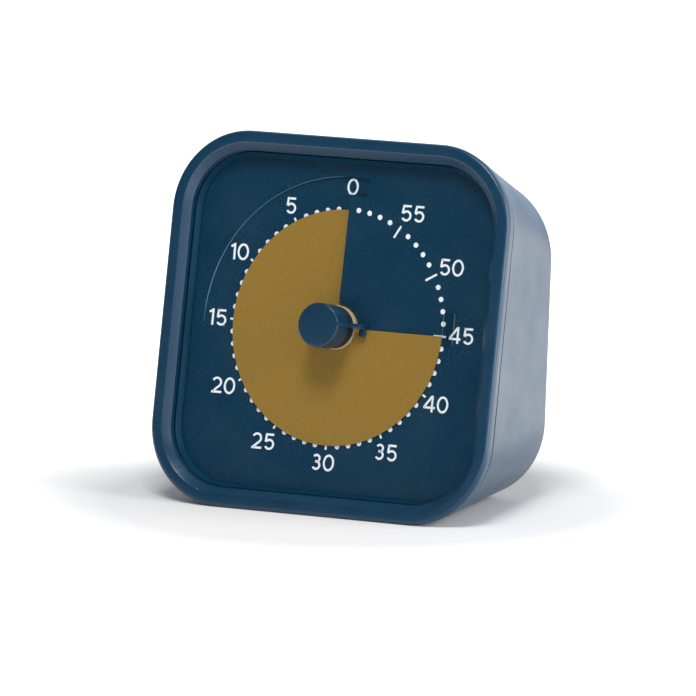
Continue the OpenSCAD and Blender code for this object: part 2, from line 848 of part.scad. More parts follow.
module back_cuts() {
    bay_space();
    door_opening();
    reach = door_w / 2 + door_gap + 1.5;
    bar(-reach, reach, door_pin_r + run_fit, door_y, door_z);
    // thumb notch above the door
    intersection() {
        rod(-0.9, 1, 6, [0, door_z + door_h + door_gap]);
        box([-8, -2, door_z + door_h], [8, 2, door_z + door_h + 4]);
    }
    // switch pocket and slot
    translate([switch_x, 0, switch_z]) {
        deep(-pocket_depth, 1) rounded(switch_pocket[0], switch_pocket[1], 1.2);
        box([-switch_slot[0] / 2, -wall - 1, -switch_slot[1] / 2],
            [switch_slot[0] / 2, 1, switch_slot[1] / 2]);
    }
    // sound holes over the buzzer
    rod(-wall - 1, 1, 0.8, buzzer_at);
    for (i = [0:sound_holes - 1])
        rod(-wall - 1, 1, 0.8, buzzer_at + polar(4, i * 360 / sound_holes));
}

// Pairs of ribs that stiffen the two side walls and the top wall
module wall_ribs() {
    side_reach = back_w / 2 - wall - rib_h;
    top_reach = back_rise + back_h / 2 - wall - rib_h - 1.7;
    intersection() {
        case_room(wall / 2);
        for (at = [-rib_at, rib_at]) {
            for (s = [-1, 1]) translate([s * (side_reach + big / 2), (rib_y0 + rib_y1) / 2, at])
                cube([big, rib_y1 - rib_y0, rib_t], center = true);
            box([at - rib_t / 2, rib_y0, top_reach], [at + rib_t / 2, rib_y1, big]);
        }
    }
}

module rear_case() {
    color(navy) face() difference() {
        union() {
            wall_ribs();
            difference() {
                case_form();
                case_room(wall);
                translate([0, -big, 0]) behind(seam_y + seam_gap);
            }
            deep(bezel_t + 0.4, seam_y + seam_gap + 1.5) difference() {
                rim_outline(lip_inset);
                rim_outline(lip_inset + lip_t);
            }
            intersection() {
                for (x = [-1, 1], z = [-1, 1])
                    rod(column_y, big, column_r, [x * case_screw_x, z * case_screw_z]);
                translate([0, case_depth, 0]) rotate([back_turn, 0, 0])
                    translate([0, -big - wall / 2, 0]) behind(0);
            }
            translate([0, case_depth, 0]) rotate([back_turn, 0, 0]) {
                bay_walls();
                // sockets for the buzzer and the switch
                deep(-wall - buzzer_t, -wall + 0.2) translate(buzzer_at)
                    ring_2d(buzzer_r + 1.2, buzzer_r + seat_fit);
                for (s = [-1, 1])
                    translate([switch_x + s * (switch_size[0] + cheek_t) / 2 + s * 2 * seat_fit, 0, switch_z])
                        box([-cheek_t / 2, switch_y - switch_size[1], -switch_size[2] / 2],
                            [cheek_t / 2, -wall + 0.2, switch_size[2] / 2]);
            }
        }
        translate([0, case_depth, 0]) rotate([back_turn, 0, 0]) back_cuts();
        for (x = [-1, 1], z = [-1, 1]) {
            rod(0, big, screw_r + run_fit, [x * case_screw_x, z * case_screw_z]);
            rod(column_y + column_web, big, head_r + 0.3, [x * case_screw_x, z * case_screw_z]);
        }
    }
}

module buzzer() {
    color("goldenrod") on_back() {
        deep(-wall - 0.5, -wall - seat_fit) translate(buzzer_at) circle(buzzer_r, $fn = curve_fn);
        deep(-wall - buzzer_t, -wall - 0.4) translate(buzzer_at)
            circle(buzzer_r - 2, $fn = curve_fn);
    }
}

module switch_knob() {
    color("black") on_back() translate([switch_x - switch_travel / 2, 0, switch_z]) {
        deep(switch_y + 0.2, -0.2) square(lever_size, center = true);
        deep(switch_y + 0.2, switch_y + 0.2 + plate_t) square(plate_size, center = true);
    }
}

module switch_body() {
    color("dimgray") on_back() translate([switch_x, switch_y - switch_size[1] / 2, switch_z])
        cube(switch_size, center = true);
}

module cell() {
    color("slategray") on_back() {
        bar(cell_x, cell_x + cell_l, cell_r, cell_y, cell_z);
        bar(cell_x + cell_l - 0.1, cell_x + cell_l + nub_l, nub_r, cell_y, cell_z);
    }
}

module contact_plate(x) {
    box([x, cell_y - contact_in, cell_z - contact_half],
        [x + contact_t, cell_y + contact_out, cell_z + contact_half]);
}

module contact_positive() {
    color("silver") on_back() {
        contact_plate(bay_x1 - contact_t - run_fit);
        bar(cell_x + cell_l + nub_l + run_fit, bay_x1 - contact_t, nub_r - 0.2, cell_y, cell_z);
    }
}

// Plate with a conical spring that presses on the cell's flat end
module contact_negative() {
    sides = 8;
    per_turn = 12;
    x0 = bay_x0 + run_fit + contact_t + 0.6 * spring_wire;
    length = cell_x - run_fit - spring_wire - x0;
    rings = spring_turns * per_turn;
    function place(t, a, p) =
        let (r = spring_r - spring_taper * t + p[0], x = x0 + length * t + p[1])
        [x, cell_y + r * cos(a), cell_z + r * sin(a)];
    color("silver") on_back() {
        contact_plate(bay_x0 + run_fit);
        swept([for (i = [0:rings])
            [for (j = [0:sides - 1]) place(i / rings, i * 360 / per_turn,
                polar(spring_wire, -j * 360 / sides))]]);
    }
}

// Pan-head screw with a cross recess, pointing along -y from its seat
module screw(length) {
    difference() {
        rod(0, head_h, head_r);
        for (a = [0, 90]) rotate([0, a, 0]) box([-1.1, head_h - 0.6, -0.2], [1.1, head_h + 1, 0.2]);
    }
    rod(-length, 0.1, screw_r);
}

module case_screws() {
    seat = column_y + column_web;
    color("gray") face() for (x = [-1, 1], z = [-1, 1])
        translate([x * case_screw_x, seat, z * case_screw_z]) screw(column_web + post_l);
}

module movement_screws() {
    color("gray") face() for (x = [-1, 1], z = [-1, 1])
        translate([x * move_screw_at, inner_y, z * move_screw_at]) screw(inner_y - move_screw_tip);
}

front_bezel();
dial_surround();
dial_plate();
rear_case();
battery_door();
time_disc();
disc_hub();
edge_tab();
knob();
hub_sleeve();
spindle_shaft();
clutch_spring();
alert_cam();
movement_case();
movement_cover();
centre_wheel();
third_wheel();
seconds_wheel();
step_wheel();
rotor_pinion();
rotor_magnet();
stator();
coil_core();
coil_bobbin();
coil_winding();
circuit_board();
chip();
crystal();
alert_contact();
buzzer();
switch_knob();
switch_body();
cell();
contact_positive();
contact_negative();
case_screws();
movement_screws();
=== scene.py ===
"""Looks of a visual countdown timer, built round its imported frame.

Pieces are modelled in millimetres on the dial's own axes (X across, Y up the dial, Z towards the reader,
zero on the rim), or on the back wall's axes, and are then set in place in metres.
"""

import json
from math import asin, atan2, copysign, cos, pi, radians, sin, tan
from types import SimpleNamespace

import bmesh
import bpy
from bpy.types import Operator, Panel, PropertyGroup
from mathutils import Matrix, Vector


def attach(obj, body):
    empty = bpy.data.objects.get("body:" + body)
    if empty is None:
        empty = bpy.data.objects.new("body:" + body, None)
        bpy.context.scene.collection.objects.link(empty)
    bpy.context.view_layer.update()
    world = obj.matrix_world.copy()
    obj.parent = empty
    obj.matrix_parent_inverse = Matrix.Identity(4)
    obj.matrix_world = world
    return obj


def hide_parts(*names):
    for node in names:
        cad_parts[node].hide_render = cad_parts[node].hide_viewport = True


bl_info = {
    "name": "Visual countdown timer",
    "version": (1, 0, 0),
    "blender": (4, 5, 0),
    "location": "3D View > Sidebar > Timer",
    "description": "Models and finishes a square countdown timer with a ramped dial and a turning disc",
    "category": "Add Mesh",
}

mesh = bpy.ops.mesh
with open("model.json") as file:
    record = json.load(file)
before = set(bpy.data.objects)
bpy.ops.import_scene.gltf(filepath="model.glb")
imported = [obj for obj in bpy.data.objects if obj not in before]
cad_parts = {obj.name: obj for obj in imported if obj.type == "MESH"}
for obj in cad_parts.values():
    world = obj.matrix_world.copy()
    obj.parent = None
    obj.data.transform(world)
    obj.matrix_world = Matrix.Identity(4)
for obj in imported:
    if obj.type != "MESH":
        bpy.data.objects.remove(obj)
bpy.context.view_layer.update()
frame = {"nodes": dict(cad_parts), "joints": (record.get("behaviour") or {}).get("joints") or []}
KNOB_TURN = next(j for j in frame["joints"] if j["name"] == "knob_turn")
LEAN = asin(KNOB_TURN["axis"][2])
FACE_AXES = Matrix.Rotation(pi / 2 - LEAN, 4, "X")
FACE = Matrix.Translation(KNOB_TURN["pos_m"]) @ FACE_AXES @ Matrix.Scale(0.001, 4)


def srgb(red, green, blue):
    """A colour written in 8-bit sRGB, as Blender's linear values."""
    return tuple(c / 12.92 if c <= 0.04045 else ((c + 0.055) / 1.055) ** 2.4
                 for c in (red / 255, green / 255, blue / 255))


def length(name, description, default):
    """A length property, written here in millimetres."""
    return bpy.props.FloatProperty(name=name, description=description, default=default / 1000,
                                   unit="LENGTH", subtype="DISTANCE", precision=5)


def colour(name, description, default):
    return bpy.props.FloatVectorProperty(name=name, description=description, default=srgb(*default),
                                         subtype="COLOR", size=3, min=0, max=1)


def share(name, description, default, high=1.0):
    return bpy.props.FloatProperty(name=name, description=description, default=default, min=0, max=high)


# ---- sizes and colours


class CaseSizes(PropertyGroup):
    rim_size: length("Rim size", "Width and height of the front rim", 91)
    rim_corner: length("Rim corner", "Corner radius of the front rim", 19.8)
    rim_edge: length("Rim edge", "Radius of the rim's outer edge", 1)
    rim_width: length("Rim width", "Width of the flat rim", 2.9)
    band_width: length("Band width", "Width of the sloping band inside the rim", 1.8)
    band_drop: length("Band drop", "Depth of the sloping band", 1.7)
    frame_depth: length("Frame depth", "Thickness of the bezel's frame", 2.9)
    skirt: length("Skirt", "Thickness of the bezel's skirt", 1.6)
    seam: length("Seam", "Distance of the seam behind the rim", 4.4)
    seam_gap: length("Seam gap", "Width of the seam groove", 0.35)
    crease: length("Crease", "Distance of the fine crease round the skirt behind the rim", 1.9)
    inner_width: length("Inner band width", "Width of the inner sloping band", 1.3)
    inner_drop: length("Inner band drop", "Drop of the inner sloping band", 1.7)
    depth: length("Depth", "Depth of the case at the dial's centre", 42.5)
    back_width: length("Back width", "Width of the back wall", 78)
    back_height: length("Back height", "Height of the back wall", 77.6)
    back_corner: length("Back corner", "Corner radius of the back wall", 19.3)
    back_rise: length("Back rise", "Height of the back wall's middle over the dial's centre", 1.9)
    back_edge: length("Back edge", "Radius of the edge round the back wall", 2)
    back_turn: bpy.props.FloatProperty(name="Back turn", description="Turn of the back wall against the rim",
                                       default=radians(7.5), unit="ROTATION", subtype="ANGLE")
    wall: length("Wall", "Thickness of the rear case", 2)


class DialSizes(PropertyGroup):
    depth: length("Dial depth", "Distance of the dial's flat face behind the rim", 5.15)
    ramp_pitch: length("Ramp pitch", "Rise of the dial's ramp over one turn", 1.2)
    ramp_low: length("Ramp low", "Depth of the ramp's low end below the flat face", 0.75)
    dot_ring: length("Dot ring", "Radius of the ring of minute dots", 28.57)
    dot_size: length("Dot size", "Diameter of a minute dot", 1.27)
    tick_inner: length("Tick start", "Radius at which a five-minute tick starts", 26)
    tick_outer: length("Tick end", "Radius at which a five-minute tick ends", 29.45)
    tick_width: length("Tick width", "Width of a five-minute tick", 0.52)
    stroke: length("Stroke", "Width of the numerals' strokes", 0.54)
    ink: length("Ink", "Height of the print above the dial", 0.02)
    pocket_ring: length("Pocket edge", "Radius of the ramp pocket's outer edge", 36.4)
    pocket_bevel: length("Pocket bevel", "Width of the fine bevel along the ramp pocket's edge", 0.2)
    collar_inner: length("Collar hole", "Radius of the dial's opening round the hub ring", 5.85)
    collar_outer: length("Collar edge", "Outer radius of the collar round the hub's opening", 6.7)
    collar_thickness: length("Collar thickness", "Thickness of the collar round the hub's opening", 0.3)
    film_radius: length("Film radius", "Outer radius of the time disc", 28.4)
    film_thickness: length("Film thickness", "Thickness of the time disc", 0.25)
    film_gap: length("Film gap", "Running gap between the time disc and the ramp", 0.2)


class KnobSizes(PropertyGroup):
    radius: length("Radius", "Radius of the knob", 5.35)
    front: length("Front", "Distance of the knob's front before the rim", 5.1)
    rear: length("Rear", "Distance of the knob's rear behind the rim", 0.7)
    front_edge: length("Front edge", "Radius of the knob's front edge", 0.4)
    arm_thickness: length("Arm thickness", "Thickness of the fin and arm", 1.1)
    arm_reach: length("Arm reach", "Reach of the arm from the axis", 8.6)
    arm_front: length("Arm front", "Distance of the arm's front behind the rim", 0.9)
    arm_rear: length("Arm rear", "Distance of the arm's rear behind the rim", 2.95)
    hook_rear: length("Hook rear", "Distance of the hook's rear behind the rim", 4.05)
    hub_radius: length("Hub radius", "Outer radius of the hub ring", 5.35)
    hub_bore: length("Hub bore", "Inner radius of the hub ring", 5.05)
    hub_front: length("Hub front", "Distance of the hub ring's front behind the rim", 3.75)
    hub_length: length("Hub length", "Length of the hub ring", 2.45)


class Finishes(PropertyGroup):
    case: colour("Case", "Colour of the moulded case", (12, 56, 83))
    dial: colour("Dial", "Colour of the dial", (9, 53, 77))
    knob: colour("Knob", "Colour of the knob", (12, 54, 78))
    disc: colour("Disc", "Colour of the time disc", (147, 115, 38))
    print: colour("Print", "Colour of the dial's print", (232, 240, 246))
    hub: colour("Hub", "Colour of the hub ring", (184, 172, 142))
    grain: share("Grain", "Strength of the moulded grain", 0.25)


class StageLook(PropertyGroup):
    floor: colour("Floor", "Colour of the floor", (243, 243, 244))
    key: share("Key", "Power of the key light in watts", 13.0, 200.0)
    side: share("Side", "Power of the side light in watts", 25.0, 200.0)
    room: share("Room", "Strength of the room's soft light", 0.36, 4.0)
    front: share("Front", "What gloss shows of the dark front of the room", 0.02)


GROUPS = {"timer_case": CaseSizes, "timer_dial": DialSizes, "timer_knob": KnobSizes,
          "timer_finish": Finishes, "timer_stage": StageLook}


def sizes(group):
    """A property group's values, its lengths in millimetres."""
    found = getattr(bpy.context.scene, group)
    values = {}
    for name in found.__class__.__annotations__:
        value = getattr(found, name)
        values[name] = value * 1000 if found.bl_rna.properties[name].unit == "LENGTH" else value
    return SimpleNamespace(**values)


def back_axes(case):
    """The back wall's axes on the dial's: X across, Y up the wall, Z inwards."""
    return Matrix.Translation((0, 0, -case.depth)) @ Matrix.Rotation(case.back_turn, 4, "X")


# ---- modelling tools

# vertices this near are merged, and vertices this near a height stand at it
MERGE = 0.001
LEVEL = 0.01


def deselect():
    if bpy.context.object and bpy.context.object.mode != "OBJECT":
        bpy.ops.object.mode_set(mode="OBJECT")
    bpy.ops.object.select_all(action="DESELECT")


def activate(*objects):
    deselect()
    for obj in objects:
        obj.select_set(True)
    bpy.context.view_layer.objects.active = objects[0]


def edit_mode():
    bpy.ops.object.mode_set(mode="EDIT")


def apply_place():
    """Takes the place, turn and size of the selected objects into their meshes."""
    bpy.ops.object.transform_apply(location=True, rotation=True, scale=True)


def select_all(kind):
    """Selects all vertices, edges or faces, in edit mode."""
    mesh.select_mode(type=kind)
    mesh.select_all(action="SELECT")


def modify(obj, name, kind, **settings):
    """Adds a modifier to the active object with its settings, and applies it."""
    added = obj.modifiers.new(name, kind)
    for key, value in settings.items():
        setattr(added, key, value)
    bpy.ops.object.modifier_apply(modifier=added.name)


def begin(name):
    """Names the primitive just added and opens it in edit mode, all of it selected."""
    obj = bpy.context.object
    obj.name = obj.data.name = name
    apply_place()
    edit_mode()
    mesh.select_all(action="SELECT")
    return obj


def pick(obj, kind, test):
    """Selects those vertices, edges or faces that pass the test, and nothing else."""
    mesh.select_mode(type=kind)
    mesh.select_all(action="DESELECT")
    shape = bmesh.from_edit_mesh(obj.data)
    for part in {"VERT": shape.verts, "EDGE": shape.edges, "FACE": shape.faces}[kind]:
        if test(part):
            part.select_set(True)
    bmesh.update_edit_mesh(obj.data)


def at_height(z):
    return lambda part: all(abs(v.co.z - z) < LEVEL for v in part.verts)


def at_boundary(edge):
    return edge.is_boundary


def rounded_plate(name, width, height, corner, z=0.0, segments=20):
    """A flat face with round corners, left in edit mode and selected."""
    deselect()
    mesh.primitive_plane_add(size=1, location=(0, 0, z))
    obj = begin(name)
    bpy.ops.transform.resize(value=(width, height, 1))
    mesh.select_mode(type="VERT")
    mesh.bevel(affect="VERTICES", offset=corner, offset_type="OFFSET", segments=segments, profile=0.5)
    select_all("FACE")
    return obj


def lone_edge(name, width):
    """An edge along Y round the origin, left in edit mode and selected."""
    deselect()
    mesh.primitive_plane_add(size=1)
    obj = begin(name)
    bpy.ops.transform.resize(value=(0.001, width, 1))
    select_all("FACE")
    mesh.delete(type="ONLY_FACE")
    select_all("EDGE")
    mesh.remove_doubles(threshold=0.01)
    mesh.select_all(action="SELECT")
    return obj


def wound(name, inner, outer, z, start, span, rise, thickness, tilt=0.0):
    """A thin strip from inner to outer, wound round the axis span degrees on from start, with a rise."""
    strip = lone_edge(name, outer - inner)
    deselect()
    across = Matrix.Rotation(radians(tilt), 4, "Y") @ Matrix.Rotation(radians(-90), 4, "Z")
    strip.matrix_world = (Matrix.Rotation(radians(start), 4, "Z")
                          @ Matrix.Translation(((inner + outer) / 2, 0, z)) @ across)
    activate(strip)
    apply_place()
    steps = max(12, round(span / 2))
    modify(strip, "Wind", "SCREW", angle=radians(span), screw_offset=rise, steps=steps,
           render_steps=steps)
    modify(strip, "Thickness", "SOLIDIFY", thickness=thickness, offset=0)
    edit_mode()
    tidy()
    return finish(strip)


def round_plate(name, radius, z=0.0, vertices=96):
    deselect()
    mesh.primitive_circle_add(vertices=vertices, radius=radius, fill_type="NGON", location=(0, 0, z))
    obj = begin(name)
    mesh.select_mode(type="FACE")
    return obj


def softened(points, steps=4):
    """A profile of (inset, height, corner radius) with its corners rounded, as (inset, height)."""
    soft = []
    for i, (x, z, radius) in enumerate(points):
        here = Vector((x, z))
        if radius == 0 or i in (0, len(points) - 1):
            soft.append(here)
            continue
        back = (Vector(points[i - 1][:2]) - here).normalized()
        on = (Vector(points[i + 1][:2]) - here).normalized()
        half = back.angle(on) / 2
        centre = here + (back + on).normalized() * radius / sin(half)
        start = (here + back * radius / tan(half) - centre).normalized()
        end = (here + on * radius / tan(half) - centre).normalized()
        for k in range(steps + 1):
            soft.append(centre + start.slerp(end, k / steps) * radius)
    return soft


def follow(profile, facing=1):
    """Carries the selected face along a profile by insets and extrusions; facing is -1 if it looks down."""
    for before, after in zip(profile, profile[1:]):
        inward, rise = after.x - before.x, after.y - before.y
        if inward > 1e-5:
            mesh.inset(thickness=inward, depth=rise * facing, use_even_offset=True)
        else:
            mesh.extrude_region_move(TRANSFORM_OT_translate={"value": (0, 0, rise)})


def follow_normal(profile):
    """Carries the selected face along a profile whose heights are measured along its own normal."""
    for before, after in zip(profile, profile[1:]):
        inward, rise = after.x - before.x, after.y - before.y
        mesh.inset(thickness=max(inward, 1e-5), depth=rise, use_even_offset=True)


def tidy():
    """Merges doubles and turns all faces outwards, in edit mode."""
    select_all("VERT")
    mesh.remove_doubles(threshold=MERGE)
    mesh.normals_make_consistent(inside=False)


def finish(obj, angle=30):
    """Closes edit mode and gives smooth faces with crisp edges."""
    activate(obj)
    bpy.ops.object.shade_smooth_by_angle(angle=radians(angle))
    return obj


def close_ring(ring, start):
    """Takes away the faces at a profile's end and start, bridges the walls between and finishes the ring."""
    mesh.delete(type="ONLY_FACE")
    pick(ring, "FACE", at_height(start))
    mesh.delete(type="ONLY_FACE")
    pick(ring, "EDGE", at_boundary)
    mesh.bridge_edge_loops()
    tidy()
    finish(ring)


def place(obj, axes):
    """Sets a finished piece in the row's frame, with its place in its mesh."""
    obj.matrix_world = axes @ obj.matrix_world
    activate(obj)
    apply_place()
    return obj


def block(name, low, high):
    deselect()
    mesh.primitive_cube_add(size=1)
    obj = begin(name)
    bpy.ops.transform.resize(value=[b - a for a, b in zip(low, high)])
    bpy.ops.transform.translate(value=[(a + b) / 2 for a, b in zip(low, high)])
    deselect()
    return obj


def rod(name, radius, low, high, at=(0, 0), vertices=48):
    """A straight cylinder along Z."""
    deselect()
    mesh.primitive_cylinder_add(vertices=vertices, radius=radius, depth=high - low,
                                location=(at[0], at[1], (low + high) / 2))
    obj = begin(name)
    deselect()
    return obj


def rounded_block(name, width, height, corner, low, high, at):
    """A block with round upright edges."""
    obj = rounded_plate(name, width, height, corner, low, 8)
    bpy.ops.transform.translate(value=(at[0], at[1], 0))
    mesh.extrude_region_move(TRANSFORM_OT_translate={"value": (0, 0, high - low)})
    tidy()
    deselect()
    return obj


def soften_edges(obj, width):
    """Rounds the sharp edges with a bevel modifier, applied."""
    activate(obj)
    modify(obj, "Soft edges", "BEVEL", width=width, segments=2, limit_method="ANGLE",
           angle_limit=radians(40), use_clamp_overlap=True)


def carve(obj, tool, how="DIFFERENCE"):
    """Cuts the tool from obj, or joins it to obj, and removes the tool."""
    activate(obj)
    modify(obj, "Cut", "BOOLEAN", operation=how, solver="EXACT", object=tool)
    bpy.data.objects.remove(tool)


def add_in(obj, *others):
    """Joins other objects into obj as they are."""
    activate(obj, *others)
    bpy.ops.object.join()
    return obj


# ---- materials


def node_group(name, inputs, outputs):
    """An empty shader node group, what it's given and its output node: inputs maps names to defaults."""
    group = bpy.data.node_groups.new(name, "ShaderNodeTree")
    for socket, side in [(name, "INPUT") for name in inputs] + [(name, "OUTPUT") for name in outputs]:
        kind = "NodeSocketColor" if socket == "Colour" else "NodeSocketFloat"
        made = group.interface.new_socket(socket, in_out=side, socket_type=kind)
        if side == "INPUT":
            made.default_value = inputs[socket]
    return group, group.nodes.new("NodeGroupInput").outputs, group.nodes.new("NodeGroupOutput")


def feed(tree, node, links):
    """Sets a node's inputs: links maps an input's name or number to a socket or a value."""
    for socket, source in links.items():
        if isinstance(source, bpy.types.NodeSocket):
            tree.links.new(source, node.inputs[socket])
        else:
            node.inputs[socket].default_value = source


def wire(tree, kind, links=None, **settings):
    """A new node with its settings and inputs."""
    node = tree.nodes.new(kind)
    for key, value in settings.items():
        setattr(node, key, value)
    feed(tree, node, links or {})
    return node


def maths(tree, operation, first, second):
    """What an operation makes of two sockets or values."""
    return wire(tree, "ShaderNodeMath", {0: first, 1: second}, operation=operation).outputs[0]


def mapped(tree, value, start, end, low=0.0, high=1.0):
    """A value carried from start and end to low and high, and held beyond them."""
    return wire(tree, "ShaderNodeMapRange", {"Value": value, "From Min": start, "From Max": end,
                                             "To Min": low, "To Max": high}).outputs["Result"]


def object_place(tree):
    """The place on the object that a texture is read at."""
    return wire(tree, "ShaderNodeTexCoord").outputs["Object"]


def noise(tree, scale, detail, **more):
    return wire(tree, "ShaderNodeTexNoise", {"Vector": object_place(tree), "Scale": scale, "Detail": detail,
                                             **more}).outputs["Fac"]


def grain_group():
    """Fine moulded grain: a height for bump and a mask for roughness."""
    group, given, out = node_group("Moulded grain", {"Scale": 3000.0}, ["Height", "Mask"])
    fine = noise(group, given["Scale"], 3.0, Roughness=0.6)
    feed(group, out, {"Height": fine, "Mask": maths(group, "MULTIPLY", fine, noise(group, 70.0, 2.0))})
    return group


def tone_group():
    """Slow drift of a colour over the surface."""
    group, given, out = node_group("Tone drift", {"Colour": (0.5, 0.5, 0.5, 1), "Scale": 40.0, "Amount": 0.1},
                                   ["Colour"])
    centred = maths(group, "SUBTRACT", noise(group, given["Scale"], 4.0), 0.5)
    value = maths(group, "ADD", maths(group, "MULTIPLY", centred, given["Amount"]), 1.0)
    toned = wire(group, "ShaderNodeHueSaturation", {"Color": given["Colour"], "Value": value})
    feed(group, out, {"Colour": toned.outputs["Color"]})
    return group


def dust_group():
    """Sparse pale specks, as a mask."""
    group, given, out = node_group("Dust", {"Scale": 500.0, "Amount": 0.1}, ["Mask"])
    cells = wire(group, "ShaderNodeTexVoronoi", {"Vector": object_place(group),
                                                 "Scale": given["Scale"]}).outputs
    near = mapped(group, cells["Distance"], 0.05, 0.12, 1.0, 0.0)
    red = wire(group, "ShaderNodeSeparateColor", {"Color": cells["Color"]}).outputs["Red"]
    chosen = maths(group, "LESS_THAN", red, given["Amount"])
    feed(group, out, {"Mask": maths(group, "MULTIPLY", near, chosen)})
    return group


def group_node(tree, name, make, values):
    """A node of the group of that name, which is made the first time."""
    return wire(tree, "ShaderNodeGroup", values, node_tree=bpy.data.node_groups.get(name) or make())


# how fast a colour drifts, how dense the dust's cells are, and the dust's colour
TONE_SCALE = 45.0
DUST_SCALE = 420.0
DUST_COLOUR = (0.32, 0.36, 0.4, 1)
# how far the grain moves the roughness, and how high it stands in metres
ROUGHNESS_SWING = 0.05
GRAIN_HEIGHT = 0.00005


def principled(name):
    """A new material, its node tree and its surface node."""
    made = bpy.data.materials.new(name)
    made.use_nodes = True
    return made, made.node_tree, made.node_tree.nodes["Principled BSDF"]


def plastic(name, base, roughness, grain_scale=3000.0, grain=0.1, drift=0.08, dust=0.0, **shader):
    """Moulded plastic, or any finish with a fine grain, a slow drift of its tone and a little dust."""
    made, tree, surface = principled(name)
    feed(tree, surface, {socket.replace("_", " "): value for socket, value in shader.items()})
    tone = group_node(tree, "Tone drift", tone_group, {"Colour": (*base[:3], 1), "Scale": TONE_SCALE,
                                                       "Amount": drift})
    tone.name = "Tone"
    texture = group_node(tree, "Moulded grain", grain_group, {"Scale": grain_scale}).outputs
    last_colour = tone.outputs["Colour"]
    if dust:
        specks = group_node(tree, "Dust", dust_group, {"Scale": DUST_SCALE, "Amount": dust})
        mix = wire(tree, "ShaderNodeMix", {"Factor": specks.outputs["Mask"]}, data_type="RGBA")
        clean, dusty = (socket for socket in mix.inputs if socket.type == "RGBA")
        tree.links.new(last_colour, clean)
        dusty.default_value = DUST_COLOUR
        last_colour = next(socket for socket in mix.outputs if socket.type == "RGBA")
    rough = mapped(tree, texture["Mask"], 0.15, 0.35, roughness - ROUGHNESS_SWING,
                   roughness + ROUGHNESS_SWING)
    bump = wire(tree, "ShaderNodeBump", {"Height": texture["Height"], "Strength": grain,
                                         "Distance": GRAIN_HEIGHT})
    feed(tree, surface, {"Base Color": last_colour, "Roughness": rough, "Normal": bump.outputs["Normal"]})
    return made


def dress(obj, finish_material):
    obj.data.materials.clear()
    obj.data.materials.append(finish_material)


def set_in(obj, finish_material, body, replaced=()):
    """Sets a finished piece on the dial's axes, with its material, body and replaced nodes."""
    dress(place(obj, FACE), finish_material)
    seat(obj, body, replaced)


def dress_nodes(names, finish_material):
    """Gives CAD nodes a better material in their own slots."""
    for name in names:
        node = frame["nodes"][name]
        if not node.material_slots:
            node.data.materials.append(finish_material)
        for slot in node.material_slots:
            slot.material = finish_material


def seat(obj, body, replaced=()):
    """Ties a finished piece to its body and the nodes that it stands for."""
    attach(obj, body)
    if replaced:
        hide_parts(*replaced)


def case_finish():
    """The material of the moulded case, made the first time."""
    look = sizes("timer_finish")
    return bpy.data.materials.get("Housing plastic") or plastic(
        "Housing plastic", look.case, 0.32, 2600.0, look.grain, 0.10, 0.012)


# ---- the pieces


def drafted(case, depth):
    """How far the case's side, top and bottom walls stand inside the rim's outline at a depth."""
    turn = case.back_turn
    edge = Vector((-case.back_edge * cos(turn), -case.back_edge * sin(turn)))
    drops = []
    for reach, back in ((case.back_width / 2, 0), (case.back_height / 2, case.back_rise),
                        (case.back_height / 2, -case.back_rise)):
        up = 0 if back == 0 else copysign(reach + back, back)
        end = Vector((case.depth - up * sin(turn), up * cos(turn))) + edge
        height = reach if back == 0 else abs(end.y)
        drops.append((case.rim_size / 2 - height) / (end.x - case.rim_edge) * (depth - case.rim_edge))
    return drops


def outline(case, depth, groove):
    """Width, height and middle of the drafted walls' outline at a depth, at the bottom of a groove."""
    side, top, low = drafted(case, depth)
    return case.rim_size - 2 * (side + groove), case.rim_size - (top + low) - 2 * groove, (low - top) / 2


def draw_in(case, before, after):
    """Carries the selected outline from one (depth, groove) to the next along the drafted walls."""
    mesh.extrude_edges_move(TRANSFORM_OT_translate={"value": (0, 0, before[0] - after[0])})
    old_width, old_height, old_middle = outline(case, *before)
    width, height, middle = outline(case, *after)
    bpy.ops.transform.resize(value=(width / old_width, height / old_height, 1),
                             center_override=(0, old_middle, -after[0]))
    bpy.ops.transform.translate(value=(0, middle - old_middle, 0))


class TIMER_OT_bezel(Operator):
    """Model the front rim with its sloping band and skirt"""
    bl_idname = "timer.bezel"
    bl_label = "Bezel"

    def execute(self, context):
        case = sizes("timer_case")
        band = case.rim_width + case.band_width
        rim = rounded_plate("bezel", case.rim_size, case.rim_size, case.rim_corner, -case.rim_edge)
        profile = softened([(0, -case.seam, 0), (0, 0, case.rim_edge), (case.rim_width, 0, 0.5),
                            (band, -case.band_drop, 0.2), (band, -case.frame_depth, 0)], 6)
        follow(profile[1:])
        mesh.delete(type="ONLY_FACE")
        # skirt with its crease, drawn in by the draft of the case
        pick(rim, "EDGE", at_height(-case.rim_edge))
        half, slit, groove = 0.12, 0.04, 0.09
        before = (case.rim_edge, 0)
        for after in ((case.crease - half, 0), (case.crease - slit, groove), (case.crease + slit, groove),
                      (case.crease + half, 0), (case.seam - half, 0), (case.seam, half)):
            draw_in(case, before, after)
            before = after
        mesh.edge_face_add()
        room = case.skirt - drafted(case, case.seam)[0]
        follow([Vector((0, -case.seam)), Vector((room, -case.seam)), Vector((room, -case.frame_depth)),
                Vector((room + band - case.skirt, -case.frame_depth))], -1)
        mesh.delete(type="ONLY_FACE")
        pick(rim, "VERT", lambda v: abs(v.co.z + case.frame_depth) < 0.01
             and max(abs(v.co.x), abs(v.co.y)) < case.rim_size / 2 - band + 0.15)
        mesh.remove_doubles(threshold=0.2)
        tidy()
        finish(rim)
        set_in(rim, case_finish(), "case", ["front_bezel"])
        return {"FINISHED"}


